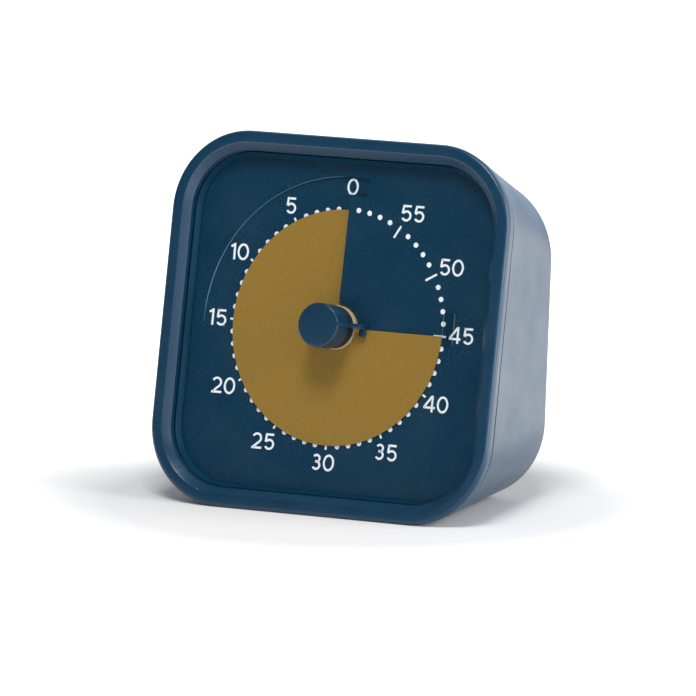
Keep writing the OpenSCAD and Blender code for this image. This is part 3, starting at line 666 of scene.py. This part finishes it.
class TIMER_OT_surround(Operator):
    """Model the inner sloping ring round the dial"""
    bl_idname = "timer.surround"
    bl_label = "Dial surround"

    def execute(self, context):
        case = sizes("timer_case")
        top = case.frame_depth + 0.1
        lip = top + case.inner_drop
        base = -lip - 0.3
        groove = -top - 0.7
        outer = case.skirt + 2.1
        band = case.rim_width + case.band_width
        foot = band + case.inner_width
        side = case.rim_size - 2 * outer
        ring = rounded_plate("dial_surround_ring", side, side, case.rim_corner - outer, base)
        follow(softened([(outer, base, 0), (outer, groove, 0.1), (band + 0.22, groove, 0),
                         (band + 0.3, -top, 0.12), (foot - 0.05, -lip + 0.05, 0.1), (foot, base, 0)], 5))
        close_ring(ring, base)
        look = sizes("timer_finish")
        made = plastic("Surround plastic", look.dial, 0.4, 2600.0, 0.1, 0.08, Specular_IOR_Level=0.07)
        set_in(ring, made, "case", ["dial_surround"])
        return {"FINISHED"}


# openings of the back wall on its own axes: low and high corners
BAY_WALLS = ((-29.5, -27.2, 1), (29.5, -9.4, 18.8))
BAY_SPACE = ((-28.3, -26, -1), (28.3, -10.6, 17.6))
DOOR_OPENING = ((-29.6, -29.3, -1), (29.6, -7.5, 2.1))
SWITCH_SLOT = ((12.4, 18.4, -1), (19.6, 21.6, 6))
# places on the back wall and, for the screws, on the dial
THUMB_AT = (0, -7.5)
SWITCH_AT = (16, 20)
SOUND_AT = Vector((-16, 20))
SOUND_RING = 4
SCREWS_AT = ((-33, -22), (-33, 22), (33, -22), (33, 22))
# heights that only the back wall is behind, and that the room inside starts at
FAR_BEHIND = -20
ROOM_FRONT = -8


class TIMER_OT_rear_case(Operator):
    """Model the rear case with its back openings"""
    bl_idname = "timer.rear_case"
    bl_label = "Rear case"

    def execute(self, context):
        case = sizes("timer_case")
        back = back_axes(case)
        size = case.rim_size
        shell = rounded_plate("rear_case_shell", size, size, case.rim_corner, -case.rim_edge)
        wall = rounded_plate("back_wall", case.back_width, case.back_height, case.back_corner)
        deselect()
        wall.matrix_world = back @ Matrix.Translation((0, case.back_rise, case.back_edge))
        add_in(shell, wall)
        edit_mode()
        select_all("FACE")
        mesh.delete(type="ONLY_FACE")
        select_all("EDGE")
        mesh.bridge_edge_loops()
        # the front is cut off behind the seam
        front = -case.seam - case.seam_gap
        select_all("EDGE")
        mesh.bisect(plane_co=(0, 0, front), plane_no=(0, 0, 1), clear_outer=True)
        # back wall with its round edge
        pick(shell, "EDGE", lambda e: e.is_boundary and all(v.co.z < FAR_BEHIND for v in e.verts))
        mesh.edge_face_add()
        mesh.normals_make_consistent(inside=False)
        pick(shell, "FACE", lambda f: len(f.verts) > 20 and f.calc_center_median().z < FAR_BEHIND)
        edge = case.back_edge
        follow_normal(softened([(0, 0, 0), (0, edge, edge), (edge * 2, edge, 0)], 6)[1:])
        # lip inside the skirt, then the room inside the case
        pick(shell, "EDGE", at_boundary)
        mesh.edge_face_add()
        lip = case.skirt + 0.3 - drafted(case, -front)[0]
        lip_front = -case.frame_depth - 0.4
        room = lip + 1.1
        follow(softened([(0, front, 0), (lip, front, 0), (lip, lip_front, 0.1), (room, lip_front, 0),
                         (room, ROOM_FRONT, 0)], 2))
        inner = case.depth - case.wall + ROOM_FRONT
        mesh.extrude_region_move(TRANSFORM_OT_translate={"value": (0, 0.5, -inner)})
        bpy.ops.transform.resize(value=(0.85, 0.85, 1))
        bpy.ops.transform.rotate(value=-case.back_turn, orient_axis="X",
                                 center_override=(0, 0, -case.depth + case.wall))
        tidy()
        for tool, how in self.back_tools():
            carve(shell, place(tool, back), how)
        for at in SCREWS_AT:
            carve(shell, rod("screw_hole", 2.3, -60, -18, at, 32))
        activate(shell)
        edit_mode()
        tidy()
        finish(shell, 35)
        set_in(shell, case_finish(), "case", ["rear_case"])
        return {"FINISHED"}

    def back_tools(self):
        """The battery bay, switch pocket and sound holes in turn, each with what it does to the back wall."""
        yield block("bay_walls", *BAY_WALLS), "UNION"
        yield block("bay_space", *BAY_SPACE), "DIFFERENCE"
        yield block("door_opening", *DOOR_OPENING), "DIFFERENCE"
        yield rod("thumb_notch", 6, -1, 0.9, THUMB_AT), "DIFFERENCE"
        yield rounded_block("switch_pocket", 10.2, 6, 1.2, -1, 0.9, SWITCH_AT), "DIFFERENCE"
        yield block("switch_slot", *SWITCH_SLOT), "DIFFERENCE"
        yield rod("sound_hole", 0.8, -1, 3.5, SOUND_AT, 20), "DIFFERENCE"
        for turn in range(0, 360, 60):
            out = Vector((cos(radians(turn)), sin(radians(turn))))
            yield rod("sound_hole", 0.8, -1, 3.5, SOUND_AT + SOUND_RING * out, 20), "DIFFERENCE"


class TIMER_OT_dial(Operator):
    """Finish the ramped dial plate, and model its collar and the fine bevel of its pocket, coloured lighter
    than the dial as a painted highlight
    """
    bl_idname = "timer.dial"
    bl_label = "Dial"

    def execute(self, context):
        look = sizes("timer_finish")
        dial = sizes("timer_dial")
        made = plastic("Dial plastic", look.dial, 0.28, 3200.0, look.grain * 0.3, 0.06, 0.008)
        dress_nodes(["dial_plate"], made)
        collar = wound("dial_collar", dial.collar_inner, dial.collar_outer,
                       -dial.depth - dial.ramp_low - dial.collar_thickness / 2 - 0.01, 90, 359.5,
                       dial.ramp_pitch * 359.5 / 360, dial.collar_thickness)
        bevel = wound("pocket_bevel", dial.pocket_ring - dial.pocket_bevel, dial.pocket_ring + 0.03,
                      -dial.depth - dial.pocket_bevel / 2, 94, 88, 0, 0.03, -45)
        # the pocket bevel's colour, much lighter than the dial's own, is a painted highlight along the
        # pocket's edge, on top of the bevel's real gloss
        edge = plastic("Pocket edge painted highlight", srgb(64, 100, 122), 0.16, 3200.0, 0.02, 0.03)
        for obj, finish_material in ((collar, made), (bevel, edge)):
            set_in(obj, finish_material, "case")
        return {"FINISHED"}


STROKES = {
    # starts and moves of each digit's strokes, in millimetres, in a box about 4 high:
    # ("line", x, y) goes to a point, ("arc", centre x, centre y, degrees) turns about a point
    "1": [[(1.02, 0.0), ("line", 1.02, 3.98)], [(0.05, 3.12), ("line", 1.02, 3.66)]],
    "2": [[(0.37, 3.05), ("arc", 1.35, 2.6, -202), ("line", 0.42, 0.36)], [(0.05, 0.3), ("line", 2.75, 0.3)]],
    "3": [[(0.57, 3.25), ("arc", 1.28, 2.85, -240)], [(1.28, 2.15), ("arc", 1.28, 1.23, -242)],
          [(0.95, 2.12), ("line", 1.4, 2.12)]],
    "4": [[(2.33, 0.0), ("line", 2.33, 3.98)], [(2.2, 3.8), ("line", 0.2, 1.12)],
          [(0.05, 1.08), ("line", 3.1, 1.08)]],
    "5": [[(2.62, 3.68), ("line", 0.4, 3.68)], [(0.66, 3.9), ("line", 0.48, 1.9)],
          [(0.55, 1.85), ("arc", 1.5, 1.32, -302)]],
}
WIDTHS = {"0": 3.04, "1": 1.32, "2": 2.77, "3": 2.6, "4": 3.1, "5": 2.88}
# gap between two digits, half the height of a digit, and half the height of the round zero
DIGIT_GAP = 0.48
HALF_DIGIT = 1.99
HALF_ZERO = 2.03
# middle of each numeral on the dial
NUMERALS = {"0": (0.2, 34.0), "5": (-16.0, 28.4), "10": (-28.6, 16.3), "15": (-32.8, 0.1),
            "20": (-29.4, -16.2), "25": (-17.1, -28.7), "30": (-0.4, -32.5), "35": (16.3, -28.7),
            "40": (28.4, -16.2), "45": (33.4, 0.6), "50": (29.1, 16.6), "55": (17.4, 28.7)}


def ribbon(start, moves, width):
    """A flat stroke: an edge as wide as the stroke, extruded along lines and spun round centres."""
    deselect()
    first = moves[0]
    here = Vector(start)
    if first[0] == "line":
        heading = (Vector(first[1:3]) - here).normalized()
    else:
        out = here - Vector(first[1:3])
        heading = Vector((-out.y, out.x)).normalized() * (1 if first[3] > 0 else -1)
    obj = lone_edge("stroke", width)
    deselect()
    obj.rotation_euler = (0, 0, atan2(heading.y, heading.x))
    obj.location = (here.x, here.y, 0)
    activate(obj)
    apply_place()
    edit_mode()
    select_all("EDGE")
    for move in moves:
        if move[0] == "line":
            step = Vector(move[1:3]) - here
            parts = max(1, round(step.length / 0.8))
            for _ in range(parts):
                mesh.extrude_edges_move(TRANSFORM_OT_translate={"value": (*(step / parts), 0)})
            here = Vector(move[1:3])
        else:
            centre = Vector(move[1:3])
            mesh.spin(steps=max(4, round(abs(move[3]) / 9)), angle=radians(-move[3]),
                      center=(*centre, 0), axis=(0, 0, 1))
            here = centre + Matrix.Rotation(radians(move[3]), 2) @ (here - centre)
    deselect()
    return obj


def digit(mark, left, stroke):
    """One numeral's strokes, moved so that its box starts at left."""
    if mark == "0":
        ring = round_plate("zero", 1, vertices=56)
        bpy.ops.transform.resize(value=(WIDTHS["0"] / 2, HALF_ZERO, 1))
        mesh.inset(thickness=stroke, depth=0)
        mesh.delete(type="ONLY_FACE")
        mesh.select_all(action="SELECT")
        bpy.ops.transform.translate(value=(WIDTHS["0"] / 2, HALF_DIGIT, 0))
        deselect()
        parts = [ring]
    else:
        parts = [ribbon(strokes[0], strokes[1:], stroke) for strokes in STROKES[mark]]
    for part in parts:
        part.location.x += left
    return parts


def faces_away(face):
    """Whether a face looks into the dial."""
    face.normal_update()
    return face.normal.dot(FACE_AXES @ Vector((0, 0, 1))) < 0


class TIMER_OT_print(Operator):
    """Print the minute dots, five-minute ticks and numerals on the dial"""
    bl_idname = "timer.print"
    bl_label = "Dial print"

    def execute(self, context):
        dial = sizes("timer_dial")
        pieces = []
        for minute in range(60):
            turn = radians(90 + 6 * minute)
            if minute % 5:
                dot = round_plate("dot", dial.dot_size / 2, vertices=20)
                mesh.inset(thickness=dial.dot_size / 4, depth=0)
                deselect()
                dot.location = (dial.dot_ring * cos(turn), dial.dot_ring * sin(turn), 0)
                pieces.append(dot)
            elif minute:
                tick = rounded_plate("tick", dial.tick_outer - dial.tick_inner, dial.tick_width,
                                     dial.tick_width / 2 - 0.01, 0, 5)
                deselect()
                reach = (dial.tick_inner + dial.tick_outer) / 2
                tick.matrix_world = Matrix.Rotation(turn, 4, "Z") @ Matrix.Translation((reach, 0, 0))
                pieces.append(tick)
        for text, (x, y) in NUMERALS.items():
            left = x - (sum(WIDTHS[mark] for mark in text) + DIGIT_GAP * (len(text) - 1)) / 2
            for mark in text:
                for part in digit(mark, left, dial.stroke):
                    part.location.y += y - HALF_DIGIT
                    pieces.append(part)
                left += WIDTHS[mark] + DIGIT_GAP
        for piece in pieces:
            activate(piece)
            apply_place()
        marks = add_in(pieces[0], *pieces[1:])
        marks.name = marks.data.name = "dial_print"
        edit_mode()
        mesh.select_all(action="SELECT")
        mesh.quads_convert_to_tris()
        bpy.ops.transform.translate(value=(0, 0, -dial.depth + 1.5))
        deselect()
        marks.matrix_world = FACE
        activate(marks)
        bpy.ops.object.transform_apply(location=False, rotation=False, scale=True)
        modify(marks, "Lie on the dial", "SHRINKWRAP", target=frame["nodes"]["dial_plate"],
               wrap_method="PROJECT", use_project_z=True, use_positive_direction=False,
               use_negative_direction=True, wrap_mode="ABOVE_SURFACE", offset=dial.ink / 1000)
        apply_place()
        edit_mode()
        pick(marks, "FACE", faces_away)
        mesh.flip_normals()
        deselect()
        dress(marks, plastic("White ink", sizes("timer_finish").print, 0.5, 4000.0, 0.1, 0.03))
        seat(marks, "case")
        return {"FINISHED"}


def gold_film(look):
    """Matt film with a fine speckle."""
    made = plastic("Gold film", look.disc, 0.5, 5000.0, 0.2, 0.05)
    tree = made.node_tree
    surface = tree.nodes["Principled BSDF"]
    swing = mapped(tree, noise(tree, 2600.0, 2.0, Roughness=0.7), 0.3, 0.7, 0.84, 1.16)
    tone = tree.nodes["Tone"].outputs["Colour"]
    bright = wire(tree, "ShaderNodeHueSaturation", {"Color": tone, "Value": swing})
    feed(tree, surface, {"Base Color": bright.outputs["Color"], "Alpha": 0.93})
    return made


def clear_film():
    """Clear film, seen by its edges: a pale colour that turns opaque towards grazing views, a painted sheen in
    place of the film's reflection.
    """
    made = plastic("Clear film", srgb(196, 210, 220), 0.2, 3000.0, 0.02, 0.02)
    tree = made.node_tree
    # the pale colour made opaque at grazing views is a painted sheen on the film's edges
    view = wire(tree, "ShaderNodeLayerWeight", {"Blend": 0.5})
    alpha = mapped(tree, view.outputs["Facing"], 0.3, 0.55)
    tree.links.new(alpha, tree.nodes["Principled BSDF"].inputs["Alpha"])
    return made


class TIMER_OT_disc(Operator):
    """Model the time disc and the hub ring, and finish the clear tab"""
    bl_idname = "timer.disc"
    bl_label = "Time disc"

    def execute(self, context):
        look = sizes("timer_finish")
        knob = sizes("timer_knob")
        film = self.film(sizes("timer_dial"), knob)
        set_in(film, gold_film(look), "disc", ["time_disc"])
        dress_nodes(["edge_tab"], clear_film())
        rear = -knob.hub_front - knob.hub_length
        ring = round_plate("hub_ring", knob.hub_radius, rear)
        width = knob.hub_radius - knob.hub_bore
        follow(softened([(0, rear, 0), (0, -knob.hub_front, 0.12), (width, -knob.hub_front, 0.05),
                         (width, rear, 0)], 4))
        close_ring(ring, rear)
        made = plastic("Hub plastic", look.hub, 0.18, 3000.0, 0.05, 0.03)
        set_in(ring, made, "disc", ["disc_hub"])
        return {"FINISHED"}

    def film(self, dial, knob):
        """Thin film wound along the ramp, from just past the 45 line once round."""
        start, span = 4, 356
        low = dial.depth + dial.ramp_low + dial.ramp_pitch * (90 - start) / 360
        return wound("time_disc_film", knob.hub_radius + 0.03, dial.film_radius,
                     dial.film_gap + dial.film_thickness / 2 - low, start, span,
                     dial.ramp_pitch * span / 360, dial.film_thickness)


class TIMER_OT_knob(Operator):
    """Model the knob with its fin, arm and hook"""
    bl_idname = "timer.knob"
    bl_label = "Knob"

    def execute(self, context):
        look = sizes("timer_finish")
        knob = sizes("timer_knob")
        body = round_plate("knob_body", knob.radius, -knob.rear, 128)
        follow(softened([(0, -knob.rear, 0), (0, knob.front, knob.front_edge),
                         (knob.radius - 0.5, knob.front, 0)], 6))
        tidy()
        deselect()
        low, high = 0.1, 0.1 + knob.arm_thickness
        overlap = 0.4
        hook_left = knob.arm_reach - 1.65
        fin = block("fin", (knob.radius - 1, low, overlap - knob.arm_rear),
                    (knob.radius + 0.35, high, knob.front))
        arm = block("arm", (5.4, low, -knob.arm_rear), (knob.arm_reach, high, -knob.arm_front))
        finger = block("finger", (hook_left, low, -knob.hook_rear),
                       (knob.arm_reach - 0.1, high, overlap - knob.arm_rear))
        hook = rounded_block("hook", 1.55, 3.4, 0.76, -knob.hook_rear, -knob.arm_rear - 0.2,
                             (hook_left + 0.77, -0.3))
        for part, edge in ((fin, 0.12), (arm, 0.15), (finger, 0.15), (hook, 0.15)):
            soften_edges(part, edge)
        for part in (fin, arm, finger, hook):
            carve(body, part, "UNION")
        finish(body)
        made = plastic("Knob plastic", look.knob, 0.3, 2600.0, 0.02, 0.05, 0.01)
        set_in(body, made, "spindle", ["knob"])
        return {"FINISHED"}


# finishes of nodes that keep their own shape: name, 8-bit colour, roughness, the grain's scale and
# strength, drift of the tone, share of metal, and the nodes
BACK_FINISHES = (
    ("Black plastic", (28, 30, 32), 0.4, 2600.0, 0.15, 0.08, 0.0, ["switch_knob"]),
    ("Cell jacket", (46, 62, 84), 0.25, 1500.0, 0.05, 0.1, 0.0, ["cell"]),
    ("Dark resin", (20, 22, 26), 0.5, 2600.0, 0.15, 0.08, 0.0, ["switch_body", "hub_sleeve", "chip"]),
)
MOVEMENT_FINISHES = (
    ("White plastic", (226, 226, 220), 0.4, 2200.0, 0.1, 0.04, 0.0,
     ["movement_case", "movement_cover", "alert_cam", "step_wheel", "rotor_pinion", "coil_bobbin"]),
    ("Brass", (196, 158, 88), 0.28, 5000.0, 0.05, 0.08, 1.0,
     ["centre_wheel", "third_wheel", "seconds_wheel", "clutch_spring", "alert_contact", "buzzer"]),
    ("Steel", (176, 178, 182), 0.3, 4000.0, 0.05, 0.08, 1.0,
     ["spindle_shaft", "stator", "coil_core", "crystal", "contact_positive", "contact_negative", "case_screws",
      "movement_screws"]),
    ("Magnet", (72, 72, 76), 0.45, 3000.0, 0.1, 0.1, 1.0, ["rotor_magnet"]),
    ("Copper wire", (176, 98, 62), 0.3, 6000.0, 0.2, 0.1, 1.0, ["coil_winding"]),
    ("Board", (32, 92, 58), 0.4, 2000.0, 0.1, 0.12, 0.0, ["circuit_board"]),
)


def finish_nodes(rows):
    for name, tone, roughness, grain_scale, grain, drift, metal, nodes in rows:
        dress_nodes(nodes, plastic(name, srgb(*tone), roughness, grain_scale, grain, drift, Metallic=metal))


class TIMER_OT_back_parts(Operator):
    """Finish the battery door, the alert switch and the cell"""
    bl_idname = "timer.back_parts"
    bl_label = "Back parts"

    def execute(self, context):
        dress_nodes(["battery_door"], case_finish())
        finish_nodes(BACK_FINISHES)
        return {"FINISHED"}


class TIMER_OT_movement(Operator):
    """Finish the movement, its wheels, coil, board, contacts and screws"""
    bl_idname = "timer.movement"
    bl_label = "Movement"

    def execute(self, context):
        finish_nodes(MOVEMENT_FINISHES)
        return {"FINISHED"}


# ---- the stage


# how far from the object's middle the floor starts to turn white, and where it is white, in metres
FLOOR_FADE = (0.06, 0.14)
# the room that gloss sees, on axes from -1 to 1: where its white sets in and is full
WHITE_BEHIND = (0.08, 0.4)
WHITE_RIGHT = (0.45, 0.8)
WHITE_LOW = (0.6, 0.3)
MORE_HIGH = (0.0, 0.35)
MORE_BEHIND = (0.0, 0.3)
# strength of the white on the right, what is added high behind, and the tint of all that gloss sees
RIGHT_STRENGTH = 0.98
HIGH_STRENGTH = 0.7
GLOSS_TINT = (0.78, 0.88, 1, 1)
WHITE = (1, 1, 1, 1)


def floor_material(look):
    """Pale floor that keeps the shadow near the object and turns white away from it, where it is seen."""
    made, tree, surface = principled("Floor")
    distance = wire(tree, "ShaderNodeVectorMath", {0: object_place(tree)}, operation="LENGTH")
    path = wire(tree, "ShaderNodeLightPath").outputs
    seen = maths(tree, "MAXIMUM", path["Is Camera Ray"], path["Is Glossy Ray"])
    seen = maths(tree, "MAXIMUM", seen, path["Is Transmission Ray"])
    strength = maths(tree, "MULTIPLY", seen, mapped(tree, distance.outputs["Value"], *FLOOR_FADE))
    feed(tree, surface, {"Base Color": (*look.floor[:3], 1), "Roughness": 0.9, "Specular IOR Level": 0.1,
                         "Emission Color": WHITE, "Emission Strength": strength})
    return made


def room_light(look):
    """Soft light all round. The camera sees plain white. Gloss sees white behind and to the right, brighter
    than white high behind, and a dark front."""
    world = bpy.data.worlds.new("Room")
    bpy.context.scene.world = world
    world.use_nodes = True
    tree = world.node_tree
    tree.nodes.clear()
    path = wire(tree, "ShaderNodeLightPath").outputs
    where = wire(tree, "ShaderNodeTexCoord")
    x, y, z = wire(tree, "ShaderNodeSeparateXYZ", {"Vector": where.outputs["Generated"]}).outputs
    right = maths(tree, "MULTIPLY", mapped(tree, x, *WHITE_RIGHT), mapped(tree, z, *WHITE_LOW))
    right = maths(tree, "MULTIPLY", right, RIGHT_STRENGTH)
    white = maths(tree, "MAXIMUM", mapped(tree, y, *WHITE_BEHIND), right)
    high = maths(tree, "MULTIPLY", mapped(tree, z, *MORE_HIGH), mapped(tree, y, *MORE_BEHIND))
    high = maths(tree, "MULTIPLY", high, HIGH_STRENGTH)
    white = maths(tree, "ADD", white, high)
    shown = maths(tree, "MAXIMUM", white, look.front)
    soft = wire(tree, "ShaderNodeBackground", {"Color": WHITE, "Strength": look.room})
    gloss = wire(tree, "ShaderNodeBackground", {"Color": GLOSS_TINT, "Strength": shown})
    plain = wire(tree, "ShaderNodeBackground", {"Color": WHITE, "Strength": 1.0})
    first = wire(tree, "ShaderNodeMixShader", {0: path["Is Glossy Ray"], 1: soft.outputs[0],
                                               2: gloss.outputs[0]})
    straight = maths(tree, "MAXIMUM", path["Is Camera Ray"], path["Is Transmission Ray"])
    second = wire(tree, "ShaderNodeMixShader", {0: straight, 1: first.outputs[0], 2: plain.outputs[0]})
    wire(tree, "ShaderNodeOutputWorld", {"Surface": second.outputs[0]})


def soft_light(name, place_m, size, power):
    """A square lamp that looks at the object's middle."""
    bpy.ops.object.light_add(type="AREA", location=place_m)
    lamp = bpy.context.object
    lamp.name = name
    lamp.data.size = size
    lamp.data.energy = power
    lamp.rotation_euler = (Vector((0, 0, 0.04)) - Vector(place_m)).to_track_quat("-Z", "Y").to_euler()


# the camera on the dial's axes, in millimetres, and its focal length and picture width in pixels
CAMERA_AT = (992, -46.9, 1897.2)
CAMERA_RIGHT = Vector((0.88398175, 0.09725698, -0.4572935))
CAMERA_DOWN = Vector((0.07729515, -0.99506533, -0.06221289))
CAMERA_FORWARD = Vector((-0.46108755, 0.01964849, -0.88713709))
FOCAL_PIXELS = 8950
PICTURE_PIXELS = 696
SENSOR = 36


class TIMER_OT_stage(Operator):
    """Set the camera, the floor, the lights and the room"""
    bl_idname = "timer.stage"
    bl_label = "Stage"

    def execute(self, context):
        look = sizes("timer_stage")
        scene = context.scene
        scene.view_settings.view_transform = "Standard"
        deselect()
        mesh.primitive_plane_add(size=1)
        floor = begin("floor")
        bpy.ops.transform.resize(value=(12, 12, 1))
        mesh.subdivide(number_cuts=3)
        deselect()
        dress(floor, floor_material(look))
        turn = Matrix((CAMERA_RIGHT, -CAMERA_DOWN, -CAMERA_FORWARD)).transposed().to_4x4()
        bpy.ops.object.camera_add()
        camera = bpy.context.object
        camera.name = "photo_camera"
        camera.matrix_world = Matrix.Translation(FACE @ Vector(CAMERA_AT)) @ FACE_AXES @ turn
        camera.data.sensor_width = SENSOR
        camera.data.lens = FOCAL_PIXELS * SENSOR / PICTURE_PIXELS
        camera.data.shift_x = 0.001
        camera.data.shift_y = 0.0007
        camera.data.clip_start = 0.01
        scene.camera = camera
        soft_light("key_light", (0.3, -0.78, 1.3), 0.5, look.key)
        soft_light("side_light", (1.55, 0.05, 0.5), 1.2, look.side)
        room_light(look)
        return {"FINISHED"}


PIECES = (TIMER_OT_stage, TIMER_OT_bezel, TIMER_OT_surround, TIMER_OT_rear_case, TIMER_OT_dial,
          TIMER_OT_print, TIMER_OT_disc, TIMER_OT_knob, TIMER_OT_back_parts, TIMER_OT_movement)


class TIMER_PT_panel(Panel):
    """Sizes, colours and pieces of the timer"""
    bl_idname = "TIMER_PT_panel"
    bl_label = "Countdown timer"
    bl_space_type = "VIEW_3D"
    bl_region_type = "UI"
    bl_category = "Timer"

    def draw(self, context):
        for piece in PIECES:
            self.layout.operator(piece.bl_idname)
        for group, kind in GROUPS.items():
            box = self.layout.box()
            for name in kind.__annotations__:
                box.prop(getattr(context.scene, group), name)


def register():
    for kind in (*GROUPS.values(), *PIECES, TIMER_PT_panel):
        bpy.utils.register_class(kind)
    for group, kind in GROUPS.items():
        setattr(bpy.types.Scene, group, bpy.props.PointerProperty(type=kind))


def unregister():
    for group in GROUPS:
        delattr(bpy.types.Scene, group)
    for kind in reversed((*GROUPS.values(), *PIECES, TIMER_PT_panel)):
        bpy.utils.unregister_class(kind)


def main():
    register()
    for piece in PIECES:
        section, name = piece.bl_idname.split(".")
        getattr(getattr(bpy.ops, section), name)()
    deselect()


if __name__ == "__main__":
    main()
